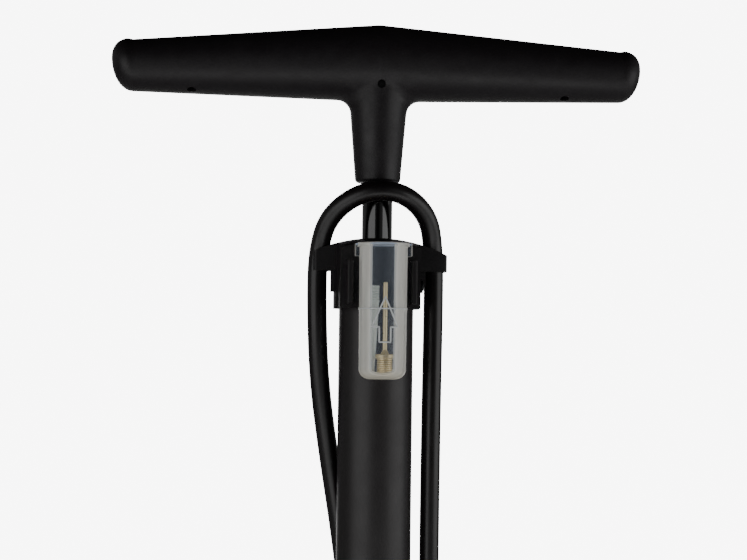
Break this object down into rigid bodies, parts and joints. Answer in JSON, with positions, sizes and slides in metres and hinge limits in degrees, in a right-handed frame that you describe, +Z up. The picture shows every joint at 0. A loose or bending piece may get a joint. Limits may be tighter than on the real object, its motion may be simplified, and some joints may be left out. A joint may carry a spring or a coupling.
{
  "type": "floor bike pump",
  "caption": "Upright floor pump with a tapered T-handle, slim barrel, side-clipped hose, lever pump head, front gauge, wide foot base and a lift-out translucent adapter case.",
  "frame": {"origin": "on the floor under the barrel's axis, at the middle of the base", "axes": "+Z up along the barrel; the handle's arms lie along X; the gauge and the adapter case face -Y; the pump head is docked at +Y"},
  "size_m": [0.272, 0.1556, 0.6521],
  "materials": {
    "moulded_black": "satin black moulded plastic",
    "base_black": "satin black painted metal",
    "sheet_steel": "black sheet steel",
    "rubber_black": "soft black rubber",
    "zinc_screw": "zinc plated steel",
    "black_screw": "black oxide steel",
    "barrel_paint": "charcoal satin paint",
    "grey_plastic": "grey moulded plastic",
    "collar_black": "matte black moulded plastic",
    "acetal_white": "white acetal",
    "nitrile": "nitrile rubber",
    "spring_steel": "spring steel",
    "ball_steel": "polished steel ball",
    "gauge_black": "black pressed steel",
    "brass": "machined brass",
    "dial_white": "printed white dial",
    "pointer_red": "red painted pointer",
    "lens_clear": "clear polycarbonate",
    "bezel_black": "glossy black plastic",
    "case_milky": "translucent milky polypropylene",
    "cone_grey": "translucent grey plastic",
    "rod_black": "glossy black rod",
    "hose_black": "satin black rubber hose",
    "head_black": "glass-filled black nylon",
    "alloy": "turned aluminium"
  },
  "bodies": {
    "frame": {"base": "base_black", "base_plate": "sheet_steel", "base_feet": "rubber_black", "base_screws": "zinc_screw", "foot_grip_right": "rubber_black", "foot_grip_left": "rubber_black", "barrel": "barrel_paint", "barrel_lock_ring": "moulded_black", "valve_block": "alloy", "barrel_seal": "nitrile", "check_valve_spring": "spring_steel", "gauge_case": "gauge_black", "gauge_movement": "brass", "gauge_stem": "brass", "gauge_dial": "dial_white", "gauge_lens": "lens_clear", "gauge_bezel": "bezel_black", "collar": "collar_black", "collar_screws": "black_screw", "rod_bushing": "acetal_white", "rod_wiper": "nitrile", "head_body": "head_black", "head_port_cap": "grey_plastic", "head_seal": "nitrile", "head_lever_pin": "zinc_screw", "head_dock": "moulded_black", "dock_screw": "black_screw", "dock_nut": "zinc_screw", "hose": "hose_black", "outlet_fitting": "brass", "hose_base_ferrule": "alloy", "hose_head_ferrule": "alloy"},
    "case": {"accessory_case": "case_milky"},
    "needle": {"ball_needle": "brass"},
    "cone": {"cone_adapter": "cone_grey"},
    "piston_assembly": {"piston": "acetal_white", "piston_seal": "nitrile", "piston_wear_ring": "acetal_white"},
    "handle_and_rod": {"handle": "moulded_black", "handle_pin": "black_screw", "piston_rod": "rod_black", "rod_end_plug": "alloy", "piston_nut": "zinc_screw", "top_out_bumper": "nitrile"},
    "lever": {"head_lever": "grey_plastic"},
    "plunger": {"head_plunger": "alloy"},
    "pointer": {"gauge_needle": "pointer_red"},
    "valve_ball": {"check_valve_ball": "ball_steel"}
  },
  "joints": [
    {"name": "handle_slide", "type": "slide", "parent": "frame", "child": "piston_assembly", "axis": [0, 0, 1], "range_m": [0, 0.437]},
    {"name": "handle_swivel", "type": "hinge", "parent": "piston_assembly", "child": "handle_and_rod", "pos_m": [0, 0, 0.055], "axis": [0, 0, 1], "continuous": true},
    {"name": "case_slide", "type": "slide", "parent": "frame", "child": "case", "axis": [0, 0, 1], "range_m": [0, 0.072]},
    {"name": "ball_needle_lift", "type": "slide", "parent": "case", "child": "needle", "axis": [0, 0, 1], "range_m": [0, 0.068]},
    {"name": "cone_adapter_lift", "type": "slide", "parent": "case", "child": "cone", "axis": [0, 0, 1], "range_m": [0, 0.068]},
    {"name": "head_lever_pivot", "type": "hinge", "parent": "frame", "child": "lever", "pos_m": [0, 0.054, 0.15], "axis": [1, 0, 0], "range_deg": [0, 90]},
    {"name": "head_plunger_slide", "type": "slide", "parent": "frame", "child": "plunger", "axis": [0, 1, 0], "range_m": [0, 0.0015]},
    {"name": "gauge_needle_turn", "type": "hinge", "parent": "frame", "child": "pointer", "pos_m": [0, -0.054, 0.052], "axis": [0, 0.766, -0.6428], "range_deg": [0, 270], "stiffness_Nm_per_rad": 0.001},
    {"name": "check_valve_lift", "type": "slide", "parent": "frame", "child": "valve_ball", "axis": [0, 0, -1], "range_m": [0, 0.0015], "stiffness_N_per_m": 50, "springref_m": -0.002, "deforming": ["check_valve_spring"]}
  ],
  "couplings": [
    {"joint": "head_plunger_slide", "follows": "head_lever_pivot", "m_per_rad": 0.000954}
  ]
}
